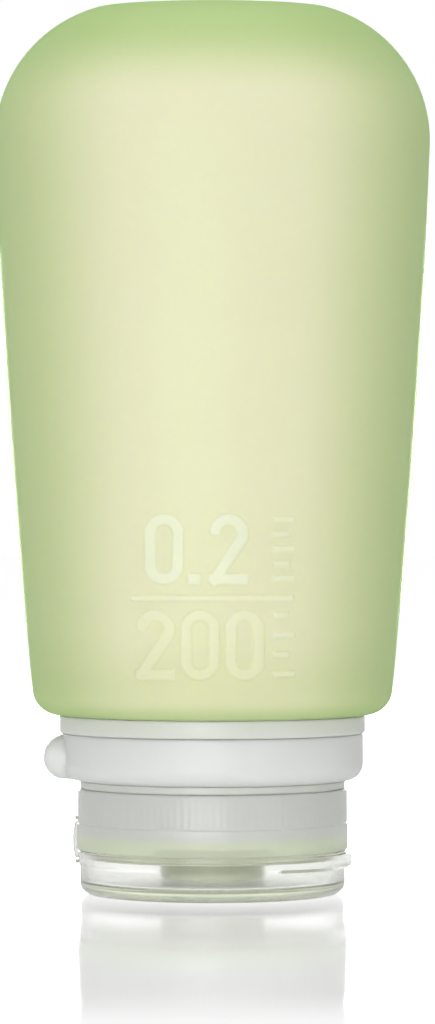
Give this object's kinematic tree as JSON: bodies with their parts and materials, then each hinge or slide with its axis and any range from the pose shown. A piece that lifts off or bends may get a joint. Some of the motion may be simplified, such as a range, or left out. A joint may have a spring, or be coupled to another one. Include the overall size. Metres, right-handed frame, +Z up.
{
  "type": "squeeze bottle",
  "caption": "Oval silicone squeeze bottle standing on its flip cap, with a hard neck collar, a turning contents ring and a screw cap with a slit valve and a strap-hinged lid.",
  "frame": {"origin": "centre of the flip lid's flat outer face, on the neck axis: the middle of the face that the bottle stands on", "axes": "+Z up from the lid through the neck to the body's flat end; +X along the wide way of the oval body, to the right in the picture; +Y away from the picture's viewer"},
  "size_m": [0.0652, 0.051, 0.1326],
  "materials": {
    "green_silicone": "frosted translucent green silicone, satin",
    "collar_plastic": "milky translucent polypropylene, satin",
    "index_plastic": "white polypropylene with printed numbers",
    "ring_plastic": "white polypropylene, satin",
    "cap_plastic": "frosted translucent polypropylene with fine upright ribs",
    "valve_silicone": "green silicone",
    "retainer_plastic": "natural polypropylene",
    "clear_plastic": "clear glossy moulded plastic"
  },
  "bodies": {
    "bottle": {"squeeze_body": "green_silicone", "neck_collar": "collar_plastic", "index_band": "index_plastic"},
    "ring": {"indicator_ring": "ring_plastic"},
    "cap_core": {"cap_valve": "valve_silicone", "valve_retainer": "retainer_plastic"},
    "cap": {"cap_shell": "cap_plastic"},
    "strap": {"hinge_strap": "clear_plastic"},
    "lid": {"flip_lid": "clear_plastic"}
  },
  "joints": [
    {"name": "ring_turn", "type": "hinge", "parent": "bottle", "child": "ring", "pos_m": [0, 0, 0.0205], "axis": [0, 0, 1], "continuous": true},
    {"name": "cap_rise", "type": "slide", "parent": "bottle", "child": "cap_core", "axis": [0, 0, -1], "range_m": [0, 0.0084]},
    {"name": "cap_turn", "type": "hinge", "parent": "cap_core", "child": "cap", "pos_m": [0, 0, 0.00675], "axis": [0, 0, -1], "range_deg": [0, 720]},
    {"name": "strap_swing", "type": "hinge", "parent": "cap", "child": "strap", "pos_m": [-0.01832, 0.00974, 0.0103], "axis": [0.4695, 0.8829, 0], "range_deg": [0, 90]},
    {"name": "lid_swing", "type": "hinge", "parent": "strap", "child": "lid", "pos_m": [-0.01832, 0.00974, 0.0051], "axis": [0.4695, 0.8829, 0], "range_deg": [0, 90]}
  ],
  "couplings": [
    {"joint": "cap_rise", "follows": "cap_turn", "m_per_rad": 0.00066845},
    {"joint": "strap_swing", "follows": "lid_swing", "ratio": 1}
  ]
}
